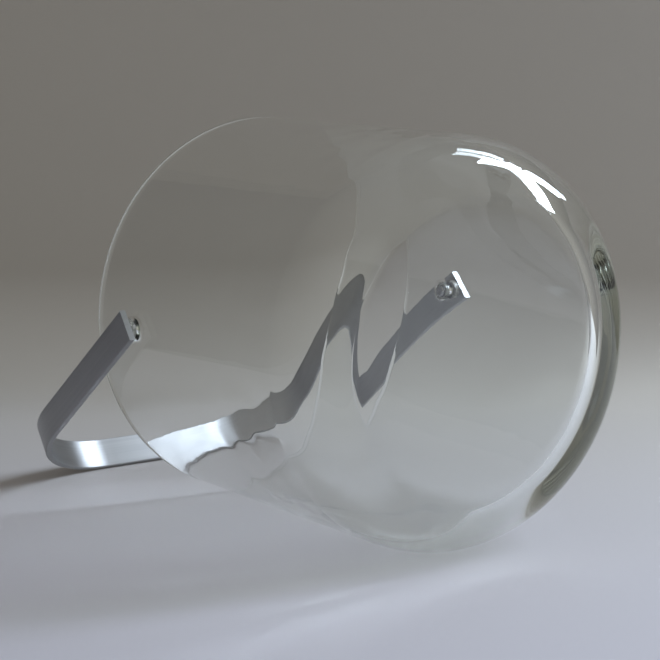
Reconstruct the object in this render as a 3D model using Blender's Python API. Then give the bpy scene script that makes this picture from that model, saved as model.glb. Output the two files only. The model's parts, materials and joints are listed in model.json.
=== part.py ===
"""A clear glass ice bucket with a swinging bail handle of flat stainless-steel band.

Frame: metres, +Z up. The origin is the centre of the ground flat underside, so the bucket stands on z = 0.
The handle's hinge runs along Y. The handle is modelled leaning towards -X.
"""
import math

import bmesh
import bpy
from mathutils import Vector

# The glass, as radii and heights of its turned profile.
# Each corner is given by its half-axes and its power: 2 is an ellipse, and more is squarer.
RIM_RADIUS = 0.0700
BODY_RADIUS = 0.0694
STRAIGHT_WALL = 0.1097
BASE_WIDE = 0.0180
BASE_TALL = 0.0228
BASE_POWER = 1.97
FLOOR_THICKNESS = 0.0135
FLOOR_CROWN = 0.0013
INNER_WIDE = 0.0155
INNER_TALL = 0.0170
INNER_POWER = 2.3
WALL_AT_RIM = 0.0035
WALL_AT_CORNER = 0.0076

# The pivots.
PIVOT_BELOW_RIM = 0.0242
HOLE_RADIUS = 0.0033
STUD_RADIUS = 0.0020
STUD_DOME = 0.0007
FLANGE_RADIUS = 0.0040
BUSH_PAST_WALL = 0.0005
STUD_PAST_BUSH = 0.0008

# The handle, measured outside the band, with REACH from the hinge to the top face.
HALF_SPAN = 0.0741
REACH = 0.1102
BEND_RADIUS = 0.0403
BAND_WIDTH = 0.0117
BAND_THICKNESS = 0.00215
END_PAST_PIVOT = 0.0041
BAND_EDGE = 0.00035
LEAN_DEGREES = 36.55

GAP = 0.0003
TURN_STEPS = 72
SMALL_TURN_STEPS = 32
MERGE = 0.00001

HEIGHT = BASE_TALL + STRAIGHT_WALL
PIVOT_HEIGHT = HEIGHT - PIVOT_BELOW_RIM


def clear_scene():
    for old in list(bpy.data.objects):
        bpy.data.objects.remove(old, do_unlink=True)


def material(name, colour, roughness, metallic=0.0, transmission=0.0, ior=1.5):
    made = bpy.data.materials.new(name)
    made.use_nodes = True
    shader = made.node_tree.nodes["Principled BSDF"]
    shader.inputs["Base Color"].default_value = (*colour, 1.0)
    shader.inputs["Roughness"].default_value = roughness
    shader.inputs["Metallic"].default_value = metallic
    shader.inputs["Transmission Weight"].default_value = transmission
    shader.inputs["IOR"].default_value = ior
    made.diffuse_color = (*colour, 1.0)
    made.metallic = metallic
    made.roughness = roughness
    return made


def new_object(name, mesh, look):
    made = bpy.data.objects.new(name, mesh)
    bpy.context.scene.collection.objects.link(made)
    if look:
        mesh.materials.append(look)
    return made


def spread(start, end, steps):
    return [start + (end - start) * i / steps for i in range(steps + 1)]


def rounded(centre_r, centre_z, wide, tall, power, start, end, steps):
    """Points (r, z) on a rounded corner. Angles are in degrees from +r towards +z."""
    points = []
    for angle in spread(math.radians(start), math.radians(end), steps):
        c, s = math.cos(angle), math.sin(angle)
        r = centre_r + wide * math.copysign(abs(c) ** (2 / power), c)
        z = centre_z + tall * math.copysign(abs(s) ** (2 / power), s)
        points.append((r, z))
    return points


def arc(centre_r, centre_z, radius, start, end, steps):
    return rounded(centre_r, centre_z, radius, radius, 2, start, end, steps)


def turned(name, profile, steps, look):
    """A solid turned about local Z. The profile starts and ends on the axis, or closes on itself."""
    mesh = bpy.data.meshes.new(name)
    closed = profile[0] == profile[-1]
    points = profile[:-1] if closed else profile
    edges = [(i, i + 1) for i in range(len(points) - 1)]
    if closed:
        edges.append((len(points) - 1, 0))
    mesh.from_pydata([(r, 0.0, z) for r, z in points], edges, [])
    made = new_object(name, mesh, look)
    screw = made.modifiers.new("turn", "SCREW")
    screw.steps = steps
    screw.render_steps = steps
    screw.use_merge_vertices = True
    screw.merge_threshold = MERGE
    screw.use_smooth_shade = True
    return made


def drilled(target, cutter):
    cut = target.modifiers.new("drill", "BOOLEAN")
    cut.operation = "DIFFERENCE"
    cut.solver = "EXACT"
    cut.object = cutter
    cutter.hide_render = True
    cutter.display_type = "WIRE"


def outer_radius(height):
    """The glass's outer radius on its straight wall."""
    share = (height - BASE_TALL) / STRAIGHT_WALL
    return BODY_RADIUS + (RIM_RADIUS - BODY_RADIUS) * share


def corner_end():
    """Where the inside corner runs smoothly into the wall: its angle on the corner, and its height."""
    height = FLOOR_THICKNESS + INNER_TALL
    for _ in range(6):
        slope = (WALL_AT_CORNER - WALL_AT_RIM) / (HEIGHT - height)
        angle = math.atan((slope * INNER_TALL / INNER_WIDE) ** (0.5 / (1 - 1 / INNER_POWER)))
        height = FLOOR_THICKNESS + INNER_TALL * (1 - math.sin(angle) ** (2 / INNER_POWER))
    return angle, height


CORNER_ANGLE, CORNER_HEIGHT = corner_end()


def wall_thickness(height):
    """Thin at the rim, and thickening towards the inside corner."""
    share = min(1.0, (height - CORNER_HEIGHT) / (HEIGHT - CORNER_HEIGHT))
    return WALL_AT_CORNER + (WALL_AT_RIM - WALL_AT_CORNER) * share


def inner_radius(height):
    return outer_radius(height) - wall_thickness(height)


def vessel_profile():
    """From the inside of the floor, up the inner wall, over the lip and down the outer wall to the underside."""
    lip = WALL_AT_RIM / 2
    lip_height = HEIGHT - lip
    floor_edge = inner_radius(CORNER_HEIGHT) - INNER_WIDE * math.cos(CORNER_ANGLE) ** (2 / INNER_POWER)
    corner_top = FLOOR_THICKNESS + INNER_TALL
    turn_end = -math.degrees(CORNER_ANGLE)
    points = []
    for r in spread(0.0, floor_edge, 6)[:-1]:
        crown = FLOOR_CROWN * (0.5 + 0.5 * math.cos(math.pi * r / floor_edge))
        points.append((r, FLOOR_THICKNESS + crown))
    points += rounded(floor_edge, corner_top, INNER_WIDE, INNER_TALL, INNER_POWER, -90, turn_end, 10)
    points += [(inner_radius(h), h) for h in spread(CORNER_HEIGHT, lip_height, 12)[1:-1]]
    points += arc(RIM_RADIUS - lip, lip_height, lip, 180, 0, 8)
    points += rounded(BODY_RADIUS - BASE_WIDE, BASE_TALL, BASE_WIDE, BASE_TALL, BASE_POWER, 0, -90, 10)
    points.append((0.0, 0.0))
    return points


def glass_vessel(look):
    vessel = turned("glass_vessel", vessel_profile(), TURN_STEPS, look)
    drill_profile = [(0.0, 0.1), (HOLE_RADIUS, 0.1), (HOLE_RADIUS, -0.1), (0.0, -0.1)]
    drill = turned("pivot_drill", drill_profile, SMALL_TURN_STEPS, None)
    drill.location = (0.0, 0.0, PIVOT_HEIGHT)
    drill.rotation_euler = (math.radians(90), 0.0, 0.0)
    drilled(vessel, drill)
    return vessel


def band_path():
    """Stations along the band from one end to the other: (y, z, outward normal y, outward normal z)."""
    straight_top = REACH - BEND_RADIUS
    stations = [(HALF_SPAN, -END_PAST_PIVOT, 1.0, 0.0)]
    for side, start, end in ((1, 0, 90), (-1, 90, 180)):
        for i in range(17):
            angle = math.radians(start + (end - start) * i / 16)
            out_y, out_z = math.cos(angle), math.sin(angle)
            centre_y = side * (HALF_SPAN - BEND_RADIUS)
            y = centre_y + BEND_RADIUS * out_y
            z = straight_top + BEND_RADIUS * out_z
            stations.append((y, z, out_y, out_z))
    stations.append((-HALF_SPAN, -END_PAST_PIVOT, -1.0, 0.0))
    return stations


def bail_handle(look, pivot):
    """The band in the handle's own frame: origin on the hinge, Z from the hinge to the top of the bail."""
    bm = bmesh.new()
    half = BAND_WIDTH / 2
    rings = []
    for y, z, out_y, out_z in band_path():
        inner_y = y - out_y * BAND_THICKNESS
        inner_z = z - out_z * BAND_THICKNESS
        corners = ((half, y, z), (-half, y, z), (-half, inner_y, inner_z), (half, inner_y, inner_z))
        rings.append([bm.verts.new(corner) for corner in corners])
    for ring, following in zip(rings, rings[1:]):
        for i in range(4):
            j = (i + 1) % 4
            bm.faces.new((ring[i], ring[j], following[j], following[i]))
    bm.faces.new(rings[0])
    bm.faces.new(rings[-1])
    bmesh.ops.recalc_face_normals(bm, faces=bm.faces)
    mesh = bpy.data.meshes.new("bail_handle")
    bm.to_mesh(mesh)
    bm.free()
    handle = new_object("bail_handle", mesh, look)
    handle.parent = pivot
    edges = handle.modifiers.new("eased_edges", "BEVEL")
    edges.width = BAND_EDGE
    edges.segments = 2
    edges.limit_method = "ANGLE"
    edges.angle_limit = math.radians(40)
    return handle


def pivot_stud(name, side, look, pivot):
    """A plain stud from the band's inner face through the bush, with a domed end inside the bucket."""
    outer_end = HALF_SPAN - BAND_THICKNESS - GAP
    inner_end = inner_radius(PIVOT_HEIGHT) - BUSH_PAST_WALL - STUD_PAST_BUSH
    profile = [(0.0, outer_end), (STUD_RADIUS, outer_end)]
    profile += arc(STUD_RADIUS - STUD_DOME, inner_end + STUD_DOME, STUD_DOME, 0, -90, 4)
    profile.append((0.0, inner_end))
    stud = turned(name, profile, SMALL_TURN_STEPS, look)
    stud.rotation_euler = (math.radians(-90 * side), 0.0, 0.0)
    stud.parent = pivot
    return stud


def pivot_bush(name, side, look):
    """A sleeve through the hole with a flange between the glass and the band."""
    bore = STUD_RADIUS + GAP
    sleeve = HOLE_RADIUS - GAP
    flange_outer = HALF_SPAN - BAND_THICKNESS - GAP
    flange_inner = outer_radius(PIVOT_HEIGHT) + GAP
    sleeve_end = inner_radius(PIVOT_HEIGHT) - BUSH_PAST_WALL
    profile = [
        (bore, sleeve_end),
        (bore, flange_outer),
        (FLANGE_RADIUS, flange_outer),
        (FLANGE_RADIUS, flange_inner),
        (sleeve, flange_inner),
        (sleeve, sleeve_end),
        (bore, sleeve_end),
    ]
    bush = turned(name, profile, SMALL_TURN_STEPS, look)
    bush.location = (0.0, 0.0, PIVOT_HEIGHT)
    bush.rotation_euler = (math.radians(-90 * side), 0.0, 0.0)
    return bush


def handle_pivot():
    """An empty on the hinge, leaning as the handle does."""
    pivot = bpy.data.objects.new("handle_pivot", None)
    bpy.context.scene.collection.objects.link(pivot)
    pivot.location = Vector((0.0, 0.0, PIVOT_HEIGHT))
    pivot.rotation_euler = (0.0, math.radians(-LEAN_DEGREES), 0.0)
    return pivot


def build():
    clear_scene()
    glass = material("clear_glass", (0.93, 0.95, 0.95), 0.0, transmission=1.0)
    steel = material("satin_steel", (0.60, 0.61, 0.63), 0.30, metallic=1.0)
    turned_steel = material("turned_steel", (0.62, 0.63, 0.64), 0.22, metallic=1.0)
    plastic = material("clear_plastic", (0.86, 0.86, 0.82), 0.25, transmission=0.6, ior=1.46)
    pivot = handle_pivot()
    glass_vessel(glass)
    bail_handle(steel, pivot)
    for side, label in ((-1, "minus_y"), (1, "plus_y")):
        pivot_stud("pivot_stud_" + label, side, turned_steel, pivot)
        pivot_bush("pivot_bush_" + label, side, plastic)


build()
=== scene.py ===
"""Looks for the glass ice bucket: clear thick-based glass, a satin steel bail, and a pale table and wall.

The row frame stands the bucket upright, +Z from underside to mouth. The reference scene shows it lying on
its side, so here the table is the plane below -X and the camera is rolled until +X is up.
"""
import json
import math

import bmesh
import bpy
from mathutils import Matrix, Vector, noise


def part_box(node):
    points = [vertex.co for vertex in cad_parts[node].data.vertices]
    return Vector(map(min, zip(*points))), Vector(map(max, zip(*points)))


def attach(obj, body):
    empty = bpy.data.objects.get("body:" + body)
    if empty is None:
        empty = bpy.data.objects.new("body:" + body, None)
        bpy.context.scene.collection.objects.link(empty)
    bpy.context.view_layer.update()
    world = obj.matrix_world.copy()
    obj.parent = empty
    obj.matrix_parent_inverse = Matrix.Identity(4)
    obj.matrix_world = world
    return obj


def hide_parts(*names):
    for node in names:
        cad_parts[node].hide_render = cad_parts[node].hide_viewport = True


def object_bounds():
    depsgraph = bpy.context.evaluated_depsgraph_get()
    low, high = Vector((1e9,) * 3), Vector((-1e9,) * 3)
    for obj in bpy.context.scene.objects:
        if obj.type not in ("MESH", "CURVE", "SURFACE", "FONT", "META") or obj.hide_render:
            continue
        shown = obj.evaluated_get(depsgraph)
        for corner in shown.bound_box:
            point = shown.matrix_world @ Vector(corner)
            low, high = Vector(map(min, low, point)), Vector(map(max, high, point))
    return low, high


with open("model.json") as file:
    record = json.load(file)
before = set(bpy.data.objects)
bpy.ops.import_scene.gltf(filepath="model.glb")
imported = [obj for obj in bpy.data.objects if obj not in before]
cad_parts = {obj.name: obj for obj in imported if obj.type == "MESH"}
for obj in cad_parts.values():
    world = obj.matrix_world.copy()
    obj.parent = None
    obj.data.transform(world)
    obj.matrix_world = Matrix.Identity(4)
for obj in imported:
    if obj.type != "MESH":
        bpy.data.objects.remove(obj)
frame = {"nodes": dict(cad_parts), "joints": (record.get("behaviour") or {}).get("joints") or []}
cad_low, cad_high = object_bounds()

# The glass: its box from the CAD, and its turned profile, in metres.
VESSEL_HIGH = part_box("glass_vessel")[1]
RIM_RADIUS = VESSEL_HIGH.y
HEIGHT = VESSEL_HIGH.z
RIM_FLARE = 0.0006
BODY_RADIUS = RIM_RADIUS - RIM_FLARE
BASE_WIDE = 0.0180
BASE_TALL = 0.0228
BASE_POWER = 1.97
FLOOR_THICKNESS = 0.0135
FLOOR_CROWN = 0.0013
INNER_WIDE = 0.0155
INNER_TALL = 0.0170
INNER_POWER = 2.3
WALL_AT_RIM = 0.0035
WALL_AT_CORNER = 0.0076
HOLE_RADIUS = 0.0033
HOLE_EASE = 0.0003
HOLE_DEPTHS = (0.12, 0.5, 0.88)

# How finely the glass is cut: columns round it, rows along each stretch, and cells and rings at each hole.
COLUMNS = 288
FLOOR_ROWS = 26
CORNER_ROWS = 56
INNER_WALL_ROWS = 40
ABOVE_HOLE_ROWS = 24
LIP_ROWS = 14
OUTER_WALL_ROWS = 26
UNDERSIDE_ROWS = 16
HOLE_CELLS = 12
HOLE_RINGS = 5

# The blown glass's waves: each one's height and length in metres, and the radii or heights where it fades.
OUTER_WAVE, OUTER_LENGTH = 0.00002, 0.022
CORNER_WAVE, CORNER_LENGTH = 0.00007, 0.0095
CORNER_STARTS = (0.026, 0.045)
CORNER_FADES = (0.045, 0.075)
WALL_WAVE, WALL_LENGTH = 0.00003, 0.020
WALL_FADES = (0.08, 0.12)
RING_WAVE, RING_LENGTH = 0.000008, 0.0052
RINGS_FADE = (0.008, 0.024)
PLAIN_LIP = 0.002

# The handle, from its CAD box and the hinge.
HINGE = Vector(frame["joints"][0]["pos_m"])
HALF_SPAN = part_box("bail_handle")[1].y
LEAN = math.radians(36.55)
REACH = 0.1102
BEND_RADIUS = 0.0403
BAND_WIDTH = 0.0117
BAND_THICKNESS = 0.00215
BAND_EDGE = 0.00045
END_PAST_PIVOT = 0.0041
ARM_STEPS = 24
BEND_STEPS = 48
TOP_STEPS = 24
EDGE_STEPS = 4
FACE_STEPS = 6
SHARP_ANGLE = math.radians(40)

# The reference view: the table's axes in the row frame, and the camera.
TURN = 0.675
UP = Vector((1.0, 0.0, 0.0))
AWAY = Vector((0.0, math.sin(TURN), math.cos(TURN)))
RIGHT = Vector((0.0, math.cos(TURN), -math.sin(TURN)))
TABLE_GAP = 0.0002
FOOT = Vector((cad_low.x - TABLE_GAP, 0.0, BASE_TALL))
LENS = 104.2
SENSOR = 36.0
CAMERA_PLACE = (0.00013, -0.6213, 0.1778)
YAW, PITCH, ROLL = -0.061, 0.164, -0.002


def stage_point(right, away, up):
    """A point given from the table under the bucket's widest circle: right, away and up, in metres."""
    return FOOT + RIGHT * right + AWAY * away + UP * up


def make_camera():
    data = bpy.data.cameras.new("camera")
    data.lens = LENS
    data.sensor_width = SENSOR
    data.clip_start = 0.01
    data.clip_end = 50.0
    camera = bpy.data.objects.new("camera", data)
    bpy.context.scene.collection.objects.link(camera)
    level = RIGHT * math.sin(YAW) + AWAY * math.cos(YAW)
    ahead = level * math.cos(PITCH) - UP * math.sin(PITCH)
    side = RIGHT * math.cos(YAW) - AWAY * math.sin(YAW)
    top = side.cross(ahead)
    rolled_side = side * math.cos(ROLL) + top * math.sin(ROLL)
    rolled_top = top * math.cos(ROLL) - side * math.sin(ROLL)
    turn = Matrix((rolled_side, rolled_top, -ahead)).transposed().to_4x4()
    camera.matrix_world = Matrix.Translation(stage_point(*CAMERA_PLACE)) @ turn
    bpy.context.scene.camera = camera


# Shape helpers


def spread(start, end, steps):
    return [start + (end - start) * i / steps for i in range(steps + 1)]


def smooth(value, low, high):
    share = min(1.0, max(0.0, (value - low) / (high - low)))
    return share * share * (3 - 2 * share)


def rounded(centre_r, centre_z, wide, tall, power, start, end, steps):
    """Points (r, z) on a rounded corner whose half-axes are wide and tall. Power 2 is an ellipse."""
    points = []
    for angle in spread(math.radians(start), math.radians(end), steps):
        c, s = math.cos(angle), math.sin(angle)
        r = centre_r + wide * math.copysign(abs(c) ** (2 / power), c)
        z = centre_z + tall * math.copysign(abs(s) ** (2 / power), s)
        points.append((r, z))
    return points


def mesh_object(name, bm):
    bmesh.ops.recalc_face_normals(bm, faces=bm.faces)
    mesh = bpy.data.meshes.new(name)
    bm.to_mesh(mesh)
    bm.free()
    mesh.shade_smooth()
    made = bpy.data.objects.new(name, mesh)
    bpy.context.scene.collection.objects.link(made)
    return made


# The glass


def outer_radius(height):
    share = (height - BASE_TALL) / (HEIGHT - BASE_TALL)
    return BODY_RADIUS + (RIM_RADIUS - BODY_RADIUS) * share


def corner_end():
    """Where the inside corner runs smoothly into the wall: its angle and its height."""
    height = FLOOR_THICKNESS + INNER_TALL
    for _ in range(6):
        slope = (WALL_AT_CORNER - WALL_AT_RIM) / (HEIGHT - height)
        angle = math.atan((slope * INNER_TALL / INNER_WIDE) ** (0.5 / (1 - 1 / INNER_POWER)))
        height = FLOOR_THICKNESS + INNER_TALL * (1 - math.sin(angle) ** (2 / INNER_POWER))
    return angle, height


CORNER_ANGLE, CORNER_HEIGHT = corner_end()


def wall_thickness(height):
    share = min(1.0, max(0.0, (height - CORNER_HEIGHT) / (HEIGHT - CORNER_HEIGHT)))
    return WALL_AT_CORNER + (WALL_AT_RIM - WALL_AT_CORNER) * share


def inner_radius(height):
    return outer_radius(height) - wall_thickness(height)


def vessel_profile():
    """Rows (r, z) from the inside of the floor over the lip to the underside, and where its parts start."""
    lip = WALL_AT_RIM / 2
    lip_height = HEIGHT - lip
    reach = INNER_WIDE * math.cos(CORNER_ANGLE) ** (2 / INNER_POWER)
    floor_edge = inner_radius(CORNER_HEIGHT) - reach
    corner_top = FLOOR_THICKNESS + INNER_TALL
    half = math.pi * RIM_RADIUS / COLUMNS * HOLE_CELLS
    window = spread(HINGE.z - half, HINGE.z + half, HOLE_CELLS)
    rows = []
    for r in spread(0.0, floor_edge, FLOOR_ROWS)[:-1]:
        crown = 0.5 + 0.5 * math.cos(math.pi * r / floor_edge)
        rows.append((r, FLOOR_THICKNESS + FLOOR_CROWN * crown))
    turn_end = -math.degrees(CORNER_ANGLE)
    inner_corner = (floor_edge, corner_top, INNER_WIDE, INNER_TALL, INNER_POWER)
    rows += rounded(*inner_corner, -90, turn_end, CORNER_ROWS)[:-1]
    below = spread(CORNER_HEIGHT, HINGE.z - half, INNER_WALL_ROWS)[:-1]
    shares = spread(1.0, 0.0, ABOVE_HOLE_ROWS)[1:]
    above = [lip_height - (lip_height - HINGE.z - half) * share ** 2 for share in shares]
    inner_window = len(rows) + len(below)
    rows += [(inner_radius(h), h) for h in below + window + above][:-1]
    lip_start = len(rows)
    rows += rounded(RIM_RADIUS - lip, lip_height, lip, lip, 2, 180, 0, LIP_ROWS)
    rows += [(outer_radius(h), h) for h in above[::-1][1:]]
    outer_window = len(rows)
    rows += [(outer_radius(h), h) for h in window[::-1]]
    rows += [(outer_radius(h), h) for h in spread(HINGE.z - half, BASE_TALL, OUTER_WALL_ROWS)[1:-1]]
    outer_corner = (BODY_RADIUS - BASE_WIDE, BASE_TALL, BASE_WIDE, BASE_TALL, BASE_POWER)
    rows += rounded(*outer_corner, 0, -90, CORNER_ROWS)
    rows += [(r, 0.0) for r in spread(BODY_RADIUS - BASE_WIDE, 0.0, UNDERSIDE_ROWS)[1:]]
    return rows, inner_window, lip_start, outer_window


def waves(place, length, seed):
    return noise.noise(place / length + Vector((seed, seed, seed)))


def blown_surface(place, inside):
    """How far the blown glass stands off its true turned shape, in metres."""
    r = math.hypot(place.x, place.y)
    if not inside:
        return OUTER_WAVE * waves(place, OUTER_LENGTH, 3.0)
    corner = smooth(r, *CORNER_STARTS) * (1 - smooth(place.z, *CORNER_FADES))
    rings = math.cos(2 * math.pi * r / RING_LENGTH) * (1 - smooth(r, *RINGS_FADE))
    return (
        CORNER_WAVE * corner * waves(place, CORNER_LENGTH, 1.0)
        + WALL_WAVE * waves(place, WALL_LENGTH, 7.0) * (1 - smooth(place.z, *WALL_FADES))
        + RING_WAVE * rings
    )


def lathe_rings(bm, rows, lip_start):
    """The rows turned into rings of vertices. The lip and the ground underside stay plain."""
    rings = []
    for i, (r, z) in enumerate(rows):
        if r < 1e-9:
            rings.append([bm.verts.new((0.0, 0.0, z))])
            continue
        before, after = rows[max(i - 1, 0)], rows[min(i + 1, len(rows) - 1)]
        along = Vector((after[0] - before[0], after[1] - before[1])).normalized()
        ring = []
        for c in range(COLUMNS):
            angle = 2 * math.pi * c / COLUMNS
            side = Vector((math.cos(angle), math.sin(angle), 0.0))
            place = side * r + Vector((0.0, 0.0, z))
            normal = side * -along.y + Vector((0.0, 0.0, along.x))
            plain = abs(z - HEIGHT) <= PLAIN_LIP or z <= 1e-6
            offset = 0.0 if plain else blown_surface(place, i < lip_start)
            ring.append(bm.verts.new(place + normal * offset))
        rings.append(ring)
    return rings


def in_window(row, column, first_row, first_column):
    """Whether a cell of the wall belongs to the square that is left out round a hole."""
    return 0 <= row - first_row < HOLE_CELLS and 0 <= column - first_column < HOLE_CELLS


def window_border(rings, first_row, first_column):
    """The vertices round a window in the wall, in order."""
    last_row, last_column = first_row + HOLE_CELLS, first_column + HOLE_CELLS
    border = [rings[first_row][c] for c in range(first_column, last_column)]
    border += [rings[r][last_column] for r in range(first_row, last_row)]
    border += [rings[last_row][c] for c in range(last_column, first_column, -1)]
    border += [rings[r][first_column] for r in range(last_row, first_row, -1)]
    return border


def bridge(bm, loop, following):
    for i in range(len(loop)):
        j = (i + 1) % len(loop)
        bm.faces.new((loop[i], loop[j], following[j], following[i]))


def hole_patch(bm, border, side, radius_at, hole_radius):
    """Rings that turn a square window into the drilled hole's round edge. Returns the edge ring."""
    centre = Vector((0.0, 0.0, HINGE.z))
    edge = []
    for vertex in border:
        flat = Vector((vertex.co.x, 0.0, vertex.co.z)) - centre
        edge.append(flat.normalized() * hole_radius)
    loop = border
    for k in range(1, HOLE_RINGS + 1):
        share = k / HOLE_RINGS
        ring = []
        for vertex, goal in zip(border, edge):
            flat = (Vector((vertex.co.x, 0.0, vertex.co.z)) - centre).lerp(goal, share)
            z = HINGE.z + flat.z
            y = side * math.sqrt(radius_at(z) ** 2 - flat.x ** 2)
            ring.append(bm.verts.new((flat.x, y, z)))
        bridge(bm, loop, ring)
        loop = ring
    return loop


def match_order(loop, other):
    """The same loop, started and turned so that each vertex faces its partner."""
    def flat(vertex):
        return Vector((vertex.co.x, vertex.co.z))
    start = min(range(len(loop)), key=lambda i: (flat(loop[i]) - flat(other[0])).length)
    forward = loop[start:] + loop[:start]
    backward = [forward[0]] + forward[:0:-1]
    return min((forward, backward), key=lambda ring: (flat(ring[1]) - flat(other[1])).length)


def drilled_hole(bm, inner_border, outer_border, side):
    """The hole through the wall, with a small ground ease at each edge."""
    outer_edge = hole_patch(bm, outer_border, side, outer_radius, HOLE_RADIUS + HOLE_EASE)
    inner_edge = hole_patch(bm, inner_border, side, inner_radius, HOLE_RADIUS + HOLE_EASE)
    inner_edge = match_order(inner_edge, outer_edge)
    centre = Vector((0.0, 0.0, HINGE.z))
    loops = [outer_edge]
    for share in HOLE_DEPTHS:
        ring = []
        for a, b in zip(outer_edge, inner_edge):
            flat = Vector((a.co.x, 0.0, a.co.z)) - centre
            flat = flat.normalized() * (flat.length - HOLE_EASE)
            y = a.co.y + (b.co.y - a.co.y) * share
            ring.append(bm.verts.new((flat.x, y, HINGE.z + flat.z)))
        loops.append(ring)
    loops.append(inner_edge)
    for loop, following in zip(loops, loops[1:]):
        bridge(bm, loop, following)


def make_glass():
    bm = bmesh.new()
    rows, inner_window, lip_start, outer_window = vessel_profile()
    rings = lathe_rings(bm, rows, lip_start)
    columns = {side: COLUMNS * quarter // 4 - HOLE_CELLS // 2 for side, quarter in ((1, 1), (-1, 3))}
    windows = [(row, column) for row in (inner_window, outer_window) for column in columns.values()]
    for i, (upper, lower) in enumerate(zip(rings, rings[1:])):
        for c in range(COLUMNS):
            n = (c + 1) % COLUMNS
            if any(in_window(i, c, *window) for window in windows):
                continue
            if len(upper) == 1:
                bm.faces.new((upper[0], lower[c], lower[n]))
            elif len(lower) == 1:
                bm.faces.new((upper[c], lower[0], upper[n]))
            else:
                bm.faces.new((upper[c], lower[c], lower[n], upper[n]))
    for side, column in columns.items():
        inner_border = window_border(rings, inner_window, column)
        outer_border = window_border(rings, outer_window, column)
        drilled_hole(bm, inner_border, outer_border, side)
    return mesh_object("glass_body", bm)


# The handle


def band_stations():
    """Stations along the band: (y, z, outward y, outward z, distance along), from the +Y end."""
    straight = REACH - BEND_RADIUS
    stations = [(HALF_SPAN, z, 1.0, 0.0) for z in spread(-END_PAST_PIVOT, straight, ARM_STEPS)[:-1]]
    for side, start, end in ((1, 0, 90), (-1, 90, 180)):
        for angle in spread(math.radians(start), math.radians(end), BEND_STEPS):
            out_y, out_z = math.cos(angle), math.sin(angle)
            y = side * (HALF_SPAN - BEND_RADIUS) + BEND_RADIUS * out_y
            stations.append((y, straight + BEND_RADIUS * out_z, out_y, out_z))
        if side == 1:
            span = HALF_SPAN - BEND_RADIUS
            stations += [(y, REACH, 0.0, 1.0) for y in spread(span, -span, TOP_STEPS)[1:-1]]
    stations += [(-HALF_SPAN, z, -1.0, 0.0) for z in spread(straight, -END_PAST_PIVOT, ARM_STEPS)[1:]]
    placed = []
    travelled = 0.0
    for i, station in enumerate(stations):
        if i:
            travelled += math.dist(station[:2], stations[i - 1][:2])
        placed.append((*station, travelled))
    return placed


def band_section():
    """The band's cross-section: (across, depth below the outer face), round its eased edges."""
    half = BAND_WIDTH / 2
    points = []
    corners = ((half, 0, 90), (-half, 90, 180), (-half, 180, 270), (half, 270, 360))
    for k, (across, start, end) in enumerate(corners):
        centre_across = across - math.copysign(BAND_EDGE, across)
        centre_depth = BAND_EDGE if k < 2 else BAND_THICKNESS - BAND_EDGE
        for angle in spread(math.radians(start), math.radians(end), EDGE_STEPS):
            c, s = math.cos(angle), math.sin(angle)
            points.append((centre_across + BAND_EDGE * c, centre_depth - BAND_EDGE * s))
        if k in (0, 2):
            across_steps = spread(points[-1][0], -points[-1][0], FACE_STEPS)[1:-1]
            points += [(a, points[-1][1]) for a in across_steps]
    return points


def make_band():
    """The bent band, leaning at rest. Its UVs run along the band, in metres, for the brushing."""
    bm = bmesh.new()
    layer = bm.loops.layers.uv.new("along_band")
    length_way = Vector((-math.sin(LEAN), 0.0, math.cos(LEAN)))
    width_way = Vector((math.cos(LEAN), 0.0, math.sin(LEAN)))
    section = band_section()
    round_section = [0.0]
    for a, b in zip(section, section[1:] + section[:1]):
        round_section.append(round_section[-1] + math.dist(a, b))
    stations = band_stations()
    rings = []
    for y, z, out_y, out_z, _ in stations:
        ring = []
        for across, depth in section:
            place = HINGE + length_way * (z - out_z * depth) + width_way * across
            place.y = y - out_y * depth
            ring.append(bm.verts.new(place))
        rings.append(ring)
    count = len(section)
    for i in range(len(rings) - 1):
        for k in range(count):
            n = (k + 1) % count
            face = bm.faces.new((rings[i][k], rings[i][n], rings[i + 1][n], rings[i + 1][k]))
            here, there = stations[i][4], stations[i + 1][4]
            low, high = round_section[k], round_section[k + 1]
            along = (here, here, there, there)
            around = (low, high, high, low)
            for loop, u, v in zip(face.loops, along, around):
                loop[layer].uv = (u, v)
    for ring in (rings[0], rings[-1]):
        cap = bm.faces.new(ring)
        for loop, (across, depth) in zip(cap.loops, section):
            loop[layer].uv = (depth, across)
    band = mesh_object("satin_bail", bm)
    band.data.set_sharp_from_angle(angle=SHARP_ANGLE)
    return band


# Materials

LAMP_SHARE = 0.88


def new_material(name):
    made = bpy.data.materials.new(name)
    made.use_nodes = True
    return made, made.node_tree, made.node_tree.nodes["Principled BSDF"]


def add_node(tree, kind, settings=None, **inputs):
    """A shader node with its settings and inputs. An input is a value or another node's output."""
    made = tree.nodes.new("ShaderNode" + kind)
    for name, value in (settings or {}).items():
        setattr(made, name, value)
    for name, value in inputs.items():
        socket = made.inputs[name.replace("_", " ")]
        if isinstance(value, bpy.types.NodeSocket):
            tree.links.new(value, socket)
        else:
            socket.default_value = value
    return made


def scaled_noise(tree, coordinates, stretch, scale, detail=3.0):
    mapping = add_node(tree, "Mapping", Vector=coordinates, Scale=stretch)
    return add_node(tree, "TexNoise", Vector=mapping.outputs[0], Scale=scale, Detail=detail).outputs["Fac"]


def ranged(tree, value, low, high, from_low=0.35, from_high=0.65):
    made = add_node(tree, "MapRange", Value=value)
    made.inputs["From Min"].default_value = from_low
    made.inputs["From Max"].default_value = from_high
    made.inputs["To Min"].default_value = low
    made.inputs["To Max"].default_value = high
    return made.outputs["Result"]


def blend_colours(tree, share, first, second):
    made = add_node(tree, "Mix", {"data_type": "RGBA"})
    tree.links.new(share, made.inputs[0])
    made.inputs[6].default_value = (*first, 1.0)
    made.inputs[7].default_value = (*second, 1.0)
    return made.outputs[2]


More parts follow.
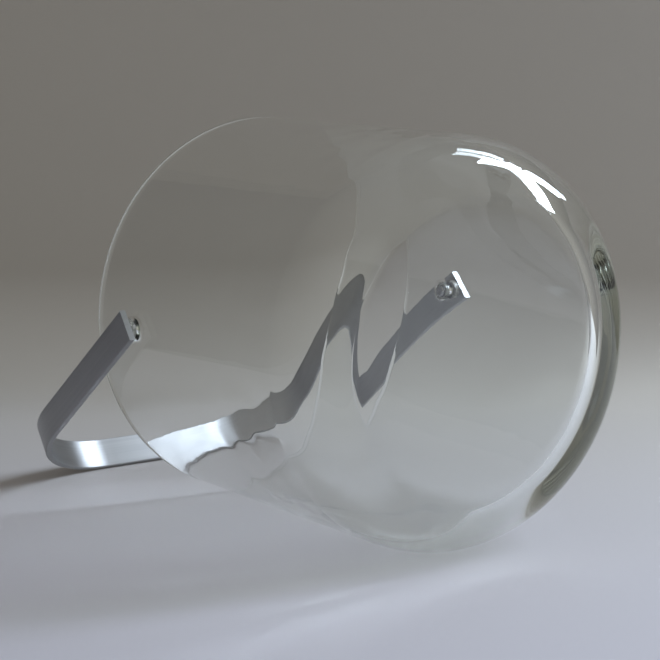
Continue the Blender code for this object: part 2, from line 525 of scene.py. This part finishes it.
def glass_material():
    """Clear soda glass with a faint grey-green body, slight drag in its surface and a few soft smudges."""
    made, tree, shader = new_material("clear_glass")
    place = add_node(tree, "TexCoord").outputs["Object"]
    drag = scaled_noise(tree, place, (1.0, 1.0, 0.35), 120.0)
    smudge = scaled_noise(tree, place, (1.0, 1.0, 1.0), 28.0, 6.0)
    bump = add_node(tree, "Bump", Strength=0.04, Distance=0.0002, Height=drag)
    shader.inputs["Base Color"].default_value = (0.985, 0.992, 0.99, 1)
    shader.inputs["Transmission Weight"].default_value = 1.0
    shader.inputs["IOR"].default_value = 1.5
    tree.links.new(ranged(tree, smudge, 0.0, 0.035, 0.58, 0.75), shader.inputs["Roughness"])
    tree.links.new(bump.outputs[0], shader.inputs["Normal"])
    body = add_node(tree, "VolumeAbsorption", Color=(0.76, 0.79, 0.68, 1), Density=11.0)
    tree.links.new(body.outputs[0], tree.nodes["Material Output"].inputs["Volume"])
    let_light_through(tree, shader, LAMP_SHARE)
    return made


def let_light_through(tree, shader, share):
    """Lets part of the lamps' light pass a clear surface unbent, so that it casts a pale shadow."""
    clear = add_node(tree, "BsdfTransparent", Color=(share, share, share, 1))
    path = add_node(tree, "LightPath")
    mix = add_node(tree, "MixShader")
    tree.links.new(path.outputs["Is Shadow Ray"], mix.inputs[0])
    tree.links.new(shader.outputs[0], mix.inputs[1])
    tree.links.new(clear.outputs[0], mix.inputs[2])
    tree.links.new(mix.outputs[0], tree.nodes["Material Output"].inputs["Surface"])


def band_material():
    """Stainless steel brushed along the band."""
    made, tree, shader = new_material("satin_band")
    place = add_node(tree, "UVMap", {"uv_map": "along_band"}).outputs[0]
    fine = scaled_noise(tree, place, (60.0, 5200.0, 1.0), 1.0, 4.0)
    broad = scaled_noise(tree, place, (14.0, 900.0, 1.0), 1.0, 3.0)
    mottle = scaled_noise(tree, place, (90.0, 160.0, 1.0), 1.0, 3.0)
    tangent = add_node(tree, "Tangent", {"direction_type": "UV_MAP", "uv_map": "along_band"})
    bump = add_node(tree, "Bump", Strength=0.12, Distance=0.00004, Height=fine)
    colour = blend_colours(tree, broad, (0.38, 0.385, 0.40), (0.48, 0.485, 0.49))
    tree.links.new(colour, shader.inputs["Base Color"])
    tree.links.new(ranged(tree, mottle, 0.41, 0.47), shader.inputs["Roughness"])
    shader.inputs["Metallic"].default_value = 1.0
    shader.inputs["Anisotropic"].default_value = 0.9
    shader.inputs["Anisotropic Rotation"].default_value = 0.25
    tree.links.new(tangent.outputs[0], shader.inputs["Tangent"])
    tree.links.new(bump.outputs[0], shader.inputs["Normal"])
    return made


def stud_material():
    """Turned steel: fine rings round the stud's axis."""
    made, tree, shader = new_material("turned_stud")
    place = add_node(tree, "TexCoord").outputs["Object"]
    centre = (-HINGE.x, 0.0, -HINGE.z)
    centred = add_node(tree, "Mapping", Vector=place, Location=centre, Scale=(1.0, 0.0, 1.0))
    kind = {"wave_type": "RINGS", "rings_direction": "SPHERICAL"}
    centred = centred.outputs[0]
    rings = add_node(tree, "TexWave", kind, Vector=centred, Scale=900.0, Distortion=1.5, Detail=2.0)
    grain = scaled_noise(tree, place, (1.0, 1.0, 1.0), 700.0)
    bump = add_node(tree, "Bump", Strength=0.15, Distance=0.00003, Height=rings.outputs["Fac"])
    colour = blend_colours(tree, grain, (0.34, 0.345, 0.35), (0.46, 0.465, 0.47))
    tree.links.new(colour, shader.inputs["Base Color"])
    tree.links.new(ranged(tree, grain, 0.18, 0.30), shader.inputs["Roughness"])
    shader.inputs["Metallic"].default_value = 1.0
    tree.links.new(bump.outputs[0], shader.inputs["Normal"])
    return made


def bush_material():
    """Clear plastic gone slightly milky."""
    made, tree, shader = new_material("clear_bush")
    place = add_node(tree, "TexCoord").outputs["Object"]
    cloud = scaled_noise(tree, place, (1.0, 1.0, 1.0), 420.0, 4.0)
    bump = add_node(tree, "Bump", Strength=0.10, Distance=0.00005, Height=cloud)
    colour = blend_colours(tree, cloud, (0.50, 0.50, 0.46), (0.62, 0.62, 0.58))
    tree.links.new(colour, shader.inputs["Base Color"])
    tree.links.new(ranged(tree, cloud, 0.18, 0.32), shader.inputs["Roughness"])
    shader.inputs["Transmission Weight"].default_value = 0.6
    shader.inputs["IOR"].default_value = 1.46
    tree.links.new(bump.outputs[0], shader.inputs["Normal"])
    return made


def stage_material():
    """A pale table, tinted lavender by painted cool window light, that darkens in painted shade towards a
    wall of warm grey, which is partly painted shade. It is clear from behind, for the other views.
    """
    made, tree, shader = new_material("table_and_wall_painted_shade")
    place = add_node(tree, "TexCoord").outputs["Object"]
    away = add_node(tree, "VectorMath", {"operation": "DOT_PRODUCT"})
    tree.links.new(place, away.inputs[0])
    away.inputs[1].default_value = AWAY
    start = FOOT.dot(AWAY)
    first, last = (start + turn for turn in PAINTED_SHADE_TURNS)
    # Over these turns the table's colour blends into the wall's darker one: painted shade on the back of
    # the table, near the wall.
    share = ranged(tree, away.outputs["Value"], 0.0, 1.0, first, last)
    tree.links.new(blend_colours(tree, share, PALE_TABLE_AND_PAINTED_COOL_LIGHT, WALL_GREY_AND_PAINTED_SHADE), shader.inputs["Base Color"])
    shader.inputs["Roughness"].default_value = 0.75
    clear = add_node(tree, "BsdfTransparent")
    side = add_node(tree, "NewGeometry")
    mix = add_node(tree, "MixShader")
    tree.links.new(side.outputs["Backfacing"], mix.inputs[0])
    tree.links.new(shader.outputs[0], mix.inputs[1])
    tree.links.new(clear.outputs[0], mix.inputs[2])
    tree.links.new(mix.outputs[0], tree.nodes["Material Output"].inputs["Surface"])
    return made


# The stage and its light

# The table's lavender tint is painted cool window light on a pale table. The wall's warm grey is partly its
# own tone and partly painted shade.
PALE_TABLE_AND_PAINTED_COOL_LIGHT = (0.60, 0.582, 0.645)
WALL_GREY_AND_PAINTED_SHADE = (0.44, 0.413, 0.378)
# Where the table starts and ends turning into the wall's colour, away from the bucket's foot: painted shade
# on the table.
PAINTED_SHADE_TURNS = (-0.16, 0.26)
TABLE_FRONT = -1.5
TABLE_RIGHT = 1.5
STAGE_LEFT = -0.34
WALL_RIGHT = 0.24
WALL_TOP = 1.6
SWEEP_BACK = 0.235
SWEEP_RADIUS = 0.055
SWEEP_STEPS = 32


def make_stage():
    """The table, which turns up into a wall. To the right of the wall the table alone goes on."""
    bm = bmesh.new()
    profile = [(TABLE_FRONT, 0.0), (SWEEP_BACK, 0.0)]
    for angle in spread(0, math.pi / 2, SWEEP_STEPS)[1:]:
        rise = SWEEP_RADIUS * (1 - math.cos(angle))
        profile.append((SWEEP_BACK + SWEEP_RADIUS * math.sin(angle), rise))
    profile.append((SWEEP_BACK + SWEEP_RADIUS, WALL_TOP))
    sides = []
    for right in (STAGE_LEFT, WALL_RIGHT):
        sides.append([bm.verts.new(stage_point(right, away, up)) for away, up in profile])
    for i in range(len(profile) - 1):
        bm.faces.new((sides[0][i], sides[1][i], sides[1][i + 1], sides[0][i + 1]))
    corners = [bm.verts.new(stage_point(TABLE_RIGHT, away, up)) for away, up in profile[:2]]
    bm.faces.new((sides[1][0], corners[0], corners[1], sides[1][1]))
    mesh = bpy.data.meshes.new("table_sweep")
    bm.to_mesh(mesh)
    bm.free()
    mesh.shade_smooth()
    mesh.materials.append(stage_material())
    sweep = bpy.data.objects.new("table_sweep", mesh)
    bpy.context.scene.collection.objects.link(sweep)


WINDOW_PLACE = (0.70, 0.28, 0.61)
WINDOW_AIM = (0.0, 0.0, 0.07)
WINDOW_SIZE = (0.18, 0.56)
WINDOW_BAR = 0.024
WINDOW_POWER = 10.5
WINDOW_COLOUR = (0.75, 0.865, 1.0)


def make_window():
    """Daylight through a window of two by two panes, up to the right."""
    place = stage_point(*WINDOW_PLACE)
    aim = stage_point(*WINDOW_AIM)
    ahead = (aim - place).normalized()
    side = ahead.cross(UP).normalized()
    turn = Matrix((side, side.cross(ahead), -ahead)).transposed().to_4x4()
    wide, tall = ((length - WINDOW_BAR) / 2 for length in WINDOW_SIZE)
    for column in (-1, 1):
        for row in (-1, 1):
            data = bpy.data.lights.new("pane", "AREA")
            data.shape = "RECTANGLE"
            data.size, data.size_y = wide, tall
            data.energy = WINDOW_POWER / 4
            data.color = WINDOW_COLOUR
            pane = bpy.data.objects.new("pane", data)
            bpy.context.scene.collection.objects.link(pane)
            shift = Vector((column * (wide + WINDOW_BAR) / 2, row * (tall + WINDOW_BAR) / 2, 0.0))
            pane.matrix_world = Matrix.Translation(place) @ turn @ Matrix.Translation(shift)
            pane.visible_camera = False


ROOM_DARK = 0.08
ROOM_PALE = 0.45
ROOM_PALER_WAY = (RIGHT * 0.5 - AWAY * 0.8 + UP * 0.2).normalized()
ROOM_TURNS = (-0.7, 0.9)


def make_room():
    """Soft light from the room: dark beyond the table and to the left, paler on the camera's side."""
    world = bpy.data.worlds.new("room")
    bpy.context.scene.world = world
    world.use_nodes = True
    tree = world.node_tree
    way = add_node(tree, "TexCoord").outputs["Generated"]
    lean = add_node(tree, "VectorMath", {"operation": "DOT_PRODUCT"})
    tree.links.new(way, lean.inputs[0])
    lean.inputs[1].default_value = ROOM_PALER_WAY
    share = ranged(tree, lean.outputs["Value"], 0.0, 1.0, *ROOM_TURNS)
    dark = (ROOM_DARK * 1.02, ROOM_DARK, ROOM_DARK * 0.98)
    pale = (ROOM_PALE * 1.02, ROOM_PALE, ROOM_PALE * 0.93)
    tree.links.new(blend_colours(tree, share, dark, pale), tree.nodes["Background"].inputs["Color"])


make_camera()
make_stage()
make_room()
make_window()

glass = make_glass()
glass.data.materials.append(glass_material())
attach(glass, "bucket")
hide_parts("glass_vessel")

band = make_band()
band.data.materials.append(band_material())
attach(band, "handle")
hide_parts("bail_handle")

stud_look = stud_material()
bush_look = bush_material()
for name, node in frame["nodes"].items():
    if name.startswith("pivot_stud"):
        node.material_slots[0].material = stud_look
    if name.startswith("pivot_bush"):
        node.material_slots[0].material = bush_look

# Thick glass needs many bounces: light is reflected inside its edges over and over.
BOUNCES = 24
bpy.context.scene.view_settings.view_transform = "Standard"
cycles = bpy.context.scene.cycles
cycles.max_bounces = BOUNCES
cycles.transmission_bounces = BOUNCES
cycles.glossy_bounces = BOUNCES
cycles.blur_glossy = 0.0
